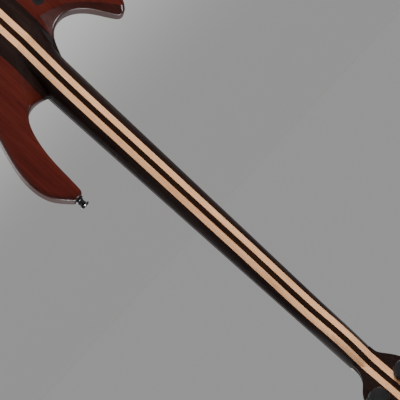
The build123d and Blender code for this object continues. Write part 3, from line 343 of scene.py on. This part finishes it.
# The tuners. Cast housings with an ear for one screw, black plated like everything on them;
# each carries a button on a shaft at its side and a post that comes up through its bushing.
black_casting = worn_metal(
    "black_plated_casting", (0.030, 0.030, 0.033),
    roughness=0.34, scratch=0.22, grain=900, metallic=0.85, coat=0.3,
)
black_turned = worn_metal(
    "black_plated_turning", (0.036, 0.036, 0.040),
    roughness=0.26, scratch=0.12, grain=1800, metallic=0.9, coat=0.3,
)
fair_copy("tuner_housings", black_casting, sharp=50)
fair_copy("tuner_bushings", black_turned)
tuner_count = 8
for tuner in range(1, tuner_count + 1):
    fair_copy(f"tuner_post_{tuner}", black_turned)
    fair_copy(f"tuner_button_{tuner}", black_casting, sharp=50)

# The strings. Eight plain and wound steel strings in four pairs, from their ball ends behind the
# bridge to the posts. The wound ones have bronze wire laid closely round a steel core.
string_wire = worn_metal(
    "string_wire", (0.56, 0.50, 0.40),
    roughness=0.3, scratch=0.5, grain=2400, stretch=(0.05, 0.05, 1),
)
fair_copy("strings", string_wire, sharp=60)


# The turns of string on each post. Three close turns, wound downwards in the post's waist, so
# the string pulls against the thickest part of the post.
def skin_rings(bm, rings):
    """Faces from each ring of corners to the next, and one across each end."""
    for lower, upper in zip(rings, rings[1:]):
        for index in range(len(lower)):
            after = (index + 1) % len(lower)
            bm.faces.new((lower[index], lower[after], upper[after], upper[index]))
    bm.faces.new(rings[0])
    bm.faces.new(rings[-1])
    bmesh.ops.recalc_face_normals(bm, faces=bm.faces)


string_radii = [0.00045, 0.00021, 0.00029, 0.00015, 0.00013, 0.00013, 0.00018, 0.00019]
thinnest_turn = 0.0002
turn_count = 3
steps_each_turn = 20
wire_sides = 8
waist_radius = 0.0023
waist_height = 0.0072
joint_of = {joint["name"]: joint for joint in frame["joints"]}
for tuner, string_radius in enumerate(string_radii, start=1):
    wire_radius = max(string_radius, thinnest_turn)
    post_joint = joint_of[f"post_turn_{tuner}"]
    foot = Vector(post_joint["pos_m"])
    post_axis = Vector(post_joint["axis"]).normalized()
    bm = bmesh.new()
    rings = []
    for step in range(turn_count * steps_each_turn + 1):
        turned = step / steps_each_turn
        outward = Matrix.Rotation(2 * math.pi * turned, 3, post_axis) @ Vector((1, 0, 0))
        height = waist_height + wire_radius * (2 * turned - turn_count)
        middle = foot + post_axis * height + outward * (waist_radius + wire_radius)
        ring = []
        for side in range(wire_sides):
            around = 2 * math.pi * side / wire_sides
            off_middle = outward * math.cos(around) + post_axis * math.sin(around)
            ring.append(bm.verts.new(middle + off_middle * wire_radius))
        rings.append(ring)
    skin_rings(bm, rings)
    for face in bm.faces:
        face.smooth = True
    coil = put_in_scene(bm, f"string_turns_{tuner}", string_wire)
    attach(coil, f"post_body_{tuner}")

# The bridge. A milled plate with a wall across its end, screwed to the body. The strings' ball
# ends stop behind the wall, and four saddles slide on the plate, one for each pair.
fair_copy("bridge_base", black_casting, sharp=30)
saddle_count = 4
for saddle in range(1, saddle_count + 1):
    fair_copy(f"saddle_{saddle}", black_turned, sharp=30)

# The pickups. Coils under two moulded black covers, each with a pair of steel rails let into its
# top. Picking has rubbed the covers smoother in patches.
pickup_cover = moulded(
    "pickup_cover", (0.014, 0.014, 0.015), roughness=0.4, grain=1500, relief=0.2, gloss=0.35
)
rail_steel = worn_metal(
    "rail_steel", (0.45, 0.45, 0.46), roughness=0.32, scratch=0.3, grain=2000, stretch=(0.1, 1, 1)
)
fair_copy("pickup_neck", pickup_cover, sharp=50)
fair_copy("pickup_bridge", pickup_cover, sharp=50)
fair_copy("pickup_rails", rail_steel)

# The control cover. A sheet of black plastic in a ledge of the body's back, with an ear for each
# of its screws and a fine grain.
sheet_plastic = moulded(
    "black_sheet_plastic", (0.011, 0.010, 0.010),
    roughness=0.38, grain=1700, relief=0.25, gloss=0.25,
)
fair_copy("control_cover", sheet_plastic, sharp=25)

# The controls. Three potentiometers stand on the cavity's floor with their threaded bushes
# through the front; the shafts carry fluted black knobs, each with a cream mark let into its top.
pressed_can = worn_metal(
    "pressed_steel_can", (0.50, 0.49, 0.47), roughness=0.36, scratch=0.2, grain=1200
)
fair_copy("potentiometers", pressed_can, sharp=30)
shaft_alloy = worn_metal(
    "shaft_alloy", (0.66, 0.66, 0.67), roughness=0.3, scratch=0.15, grain=1800
)
knob_black = worn_metal(
    "black_knob", (0.026, 0.026, 0.028),
    roughness=0.36, scratch=0.2, grain=1500, metallic=0.7, coat=0.2,
)
knob_mark = moulded(
    "cream_knob_mark", (0.72, 0.68, 0.58), roughness=0.4, grain=900, relief=0.1
)
mark_width = 0.0011
mark_depth = 0.0006
mark_length = 0.0052
mark_offset = 0.0048
mark_rounding = 0.0002
mark_sunk_share = 0.45
for control in ("volume", "blend", "tone"):
    fair_copy(f"knob_shaft_{control}", shaft_alloy)
    fair_copy(f"knob_{control}", knob_black, sharp=40)
    low, high = (Vector(corner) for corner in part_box(f"knob_{control}"))
    middle = (low + high) / 2
    place = (middle.x, low.y + mark_depth * mark_sunk_share, middle.z + mark_offset)
    bm = bmesh.new()
    block = bmesh.ops.create_cube(bm, size=1)["verts"]
    bmesh.ops.scale(bm, vec=(mark_width, mark_depth, mark_length), verts=block)
    bmesh.ops.translate(bm, vec=place, verts=block)
    bmesh.ops.bevel(
        bm,
        geom=bm.edges[:],
        offset=mark_rounding,
        segments=2,
        profile=0.5,
        affect="EDGES",
        material=-1,
    )
    mark = put_in_scene(bm, f"knob_mark_{control}", knob_mark)
    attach(mark, f"{control}_control")

# The pickup selector. A small toggle switch with a round nut on the front; its lever swings on
# a ball held in the bush, and its tip is a turned button.
fair_copy("toggle_switch", black_turned, sharp=30)
fair_copy("toggle_lever", black_turned, sharp=40)

# The output socket. A turned flange set flush in the body's side, with a barrel behind it and a
# hole for the lead's plug.
fair_copy("output_jack", black_turned, sharp=30)

# The strap buttons. Turned spools, one on the bass horn's tip and one at the body's end, each
# pulled down by a wood screw through its middle.
fair_copy("strap_buttons", black_turned, sharp=30)


# The screws. Black steel screws with domed heads and a cross recess, small ones on the head and
# larger ones on the body, all driven until they seat.
def separate_screws(node):
    """The corners of each screw in a node, one list for each."""
    bm = bmesh.new()
    bm.from_mesh(frame["nodes"][node].data)
    bmesh.ops.remove_doubles(bm, verts=bm.verts, dist=weld_distance)
    seen = set()
    found = []
    for first in bm.verts:
        if first in seen:
            continue
        seen.add(first)
        reached = [first]
        corners = []
        while reached:
            vert = reached.pop()
            corners.append(vert.co.copy())
            for edge in vert.link_edges:
                other = edge.other_vert(vert)
                if other not in seen:
                    seen.add(other)
                    reached.append(other)
        found.append(corners)
    bm.free()
    return found


def cross_recess(turn, reach):
    """How far from the middle a cross-shaped recess reaches in a given direction."""
    quarter = math.pi / 2
    off_arm = abs((turn + quarter / 2) % quarter - quarter / 2)
    half_arm = math.radians(15)
    if off_arm < half_arm + math.radians(1):
        return reach / math.cos(off_arm)
    return reach * math.tan(half_arm) / math.sin(off_arm)


def dress_screws(node, outwards, dome_height, finish):
    """Domed, cross-recessed screws in place of a node's plain ones."""
    sides = 24
    turns = [2 * math.pi * index / sides for index in range(sides)]
    rim_share = 0.98
    thinnest_shank = 0.4
    dome_drops_and_shares = [(1, 1), (0.35, 0.9), (0, 0.62)]
    recess_share = 0.5
    recess_depth = dome_height * 1.1
    recess_taper = 0.8
    bm = bmesh.new()
    for corners in separate_screws(node):
        out = outwards(corners)
        across = out.orthogonal().normalized()
        beside = out.cross(across)
        middle = sum(corners, Vector()) / len(corners)
        middle -= out * middle.dot(out)
        levels = [corner.dot(out) for corner in corners]
        reaches = [
            (corner - middle - out * level).length for corner, level in zip(corners, levels)
        ]
        foot = min(levels)
        top = max(levels)
        radius = max(reaches)
        rim_levels = [
            level for level, reach in zip(levels, reaches) if reach > radius * rim_share
        ]
        seat = min(rim_levels)
        shank = max(min(reaches), radius * thinnest_shank)
        recess = [cross_recess(turn, radius * recess_share) for turn in turns]
        profile = [
            (foot, [shank] * sides),
            (seat, [shank] * sides),
            (seat, [radius] * sides),
        ]
        for drop, share in dome_drops_and_shares:
            profile.append((top - dome_height * drop, [radius * share] * sides))
        profile.append((top, recess))
        profile.append((top - recess_depth, [reach * recess_taper for reach in recess]))
        rings = []
        for level, ring_reaches in profile:
            ring = []
            for turn, reach in zip(turns, ring_reaches):
                off_middle = across * math.cos(turn) + beside * math.sin(turn)
                ring.append(bm.verts.new(middle + out * level + off_middle * reach))
            rings.append(ring)
        skin_rings(bm, rings)
    shade_smooth(bm, sharp=35)
    piece = put_in_scene(bm, node + "_dressed", finish)
    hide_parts(node)
    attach(piece, "instrument")


head_out = Vector(joint_of["post_turn_1"]["axis"]).normalized()
head_level = Vector(joint_of["post_turn_1"]["pos_m"]).dot(head_out)
clear_of_face = 0.001
body_middle_z = 0.2


def off_the_head(corners):
    """Out of the head's face for the cover's screws, and out of its back for the tuners'."""
    top = max(corner.dot(head_out) for corner in corners) - head_level
    return head_out if top > clear_of_face else -head_out


def off_the_front(corners):
    return Vector((0, -1, 0))


def off_the_back(corners):
    return Vector((0, 1, 0))


def off_the_ends(corners):
    """Up the neck for the horn's strap button, and down for the one at the body's end."""
    return Vector((0, 0, 1 if corners[0].z > body_middle_z else -1))


def off_the_bridge_end(corners):
    return Vector((0, 0, -1))


black_screws = worn_metal(
    "black_screw_steel", (0.045, 0.044, 0.046),
    roughness=0.3, scratch=0.2, grain=1600, metallic=0.9,
)
dress_screws("head_screws", off_the_head, 0.0009, black_screws)
dress_screws("bridge_screws", off_the_front, 0.0009, black_screws)
dress_screws("pickup_screws", off_the_front, 0.0009, black_screws)
dress_screws("cover_screws", off_the_back, 0.0009, black_screws)
dress_screws("strap_button_screws", off_the_ends, 0.0011, black_screws)
dress_screws("intonation_screws", off_the_bridge_end, 0.0007, black_screws)

# The floor. Pale and matt, just under the instrument and wide enough to run out of sight. It
# casts no shadow, because the key light shines up from below it.
floor_gap = 0.004
floor_reach = 20
floor_finish, floor_tree, floor_shader = new_finish("pale_floor_finish")
floor_shader.inputs["Base Color"].default_value = (0.90, 0.89, 0.88, 1)
floor_shader.inputs["Specular IOR Level"].default_value = 0.1
floor_wear = floor_tree.nodes.new("ShaderNodeTexNoise")
floor_wear.inputs["Scale"].default_value = 3
drive_roughness(floor_tree, floor_wear.outputs["Fac"], 0.7, 0.9)
bm = bmesh.new()
bmesh.ops.create_grid(bm, x_segments=2, y_segments=2, size=floor_reach)
bmesh.ops.translate(bm, vec=(0, 0, cad_box[0][2] - floor_gap), verts=bm.verts)
floor = put_in_scene(bm, "pale_floor", floor_finish)
floor.visible_shadow = False

# The room. Even grey light from all round, a little brighter overhead, and of the floor's tone
# where the two meet, so that no horizon shows.
world = bpy.data.worlds.new("pale_room")
bpy.context.scene.world = world
world.use_nodes = True
room_nodes = world.node_tree.nodes
room_links = world.node_tree.links
room = room_nodes["Background"]
room.inputs["Strength"].default_value = 1
room_place = room_nodes.new("ShaderNodeTexCoord")
room_split = room_nodes.new("ShaderNodeSeparateXYZ")
room_rise = room_nodes.new("ShaderNodeMapRange")
room_rise.inputs["From Max"].default_value = 0.6
room_tone = room_nodes.new("ShaderNodeMix")
room_tone.data_type = "RGBA"
room_tone.inputs["A"].default_value = (0.325, 0.325, 0.325, 1)
room_tone.inputs["B"].default_value = (0.36, 0.36, 0.36, 1)
room_links.new(room_place.outputs["Generated"], room_split.inputs["Vector"])
room_links.new(room_split.outputs["Z"], room_rise.inputs["Value"])
room_links.new(room_rise.outputs["Result"], room_tone.inputs["Factor"])
room_links.new(room_tone.outputs["Result"], room.inputs["Color"])


# The lights. Large square panels: a key light on the back, one over the head that is seen only
# as a reflection, a weak one high at each side, and one for the front.
def panel_light(name, place, aim_height, size, power, in_reflections=True, in_shading=True):
    """A soft light on the instrument, which can be left out of its reflections or its shading."""
    lamp = bpy.data.lights.new(name, "AREA")
    lamp.shape = "RECTANGLE"
    lamp.size = size
    lamp.size_y = size
    lamp.energy = power
    holder = bpy.data.objects.new(name, lamp)
    holder.visible_glossy = in_reflections
    holder.visible_diffuse = in_shading
    bpy.context.scene.collection.objects.link(holder)
    facing = (Vector((0, 0, aim_height)) - Vector(place)).to_track_quat("-Z", "Y")
    holder.matrix_world = Matrix.Translation(place) @ facing.to_matrix().to_4x4()


panel_light(
    "key_panel", (1.5, 2.2, -1.4), aim_height=0.4, size=1.0, power=160, in_reflections=False
)
panel_light(
    "head_panel", (0.15, 0.6, 2.9), aim_height=0.4, size=0.6, power=110, in_shading=False
)
panel_light(
    "bass_side_panel", (-2.4, 0.4, 2.2), aim_height=0.5, size=1.5, power=9, in_reflections=False
)
panel_light(
    "treble_side_panel", (2.4, 0.2, 2.2), aim_height=0.5, size=1.5, power=14, in_reflections=False
)
panel_light("front_panel", (-1.5, -1.8, 2.3), aim_height=0.5, size=1.4, power=60)

# The camera. A long lens behind the neck, looking slightly down and rolled, so that the neck
# runs down across the frame from the body to the head.
aim = Vector((0.0058, 0, 0.525))
azimuth = math.radians(189)
elevation = math.radians(2)
stand_back = 3.02
behind = Vector(
    (
        math.sin(azimuth) * math.cos(elevation),
        -math.cos(azimuth) * math.cos(elevation),
        math.sin(elevation),
    )
)
right = Vector((0.6811, 0, 0.7322))
right = (right - behind * right.dot(behind)).normalized()
up = behind.cross(right)
lens = bpy.data.cameras.new("long_lens")
lens.lens = 250
lens.sensor_width = 36
camera = bpy.data.objects.new("camera", lens)
bpy.context.scene.collection.objects.link(camera)
axes = Matrix((right, up, behind)).transposed().to_4x4()
camera.matrix_world = Matrix.Translation(aim + behind * stand_back) @ axes
bpy.context.scene.camera = camera
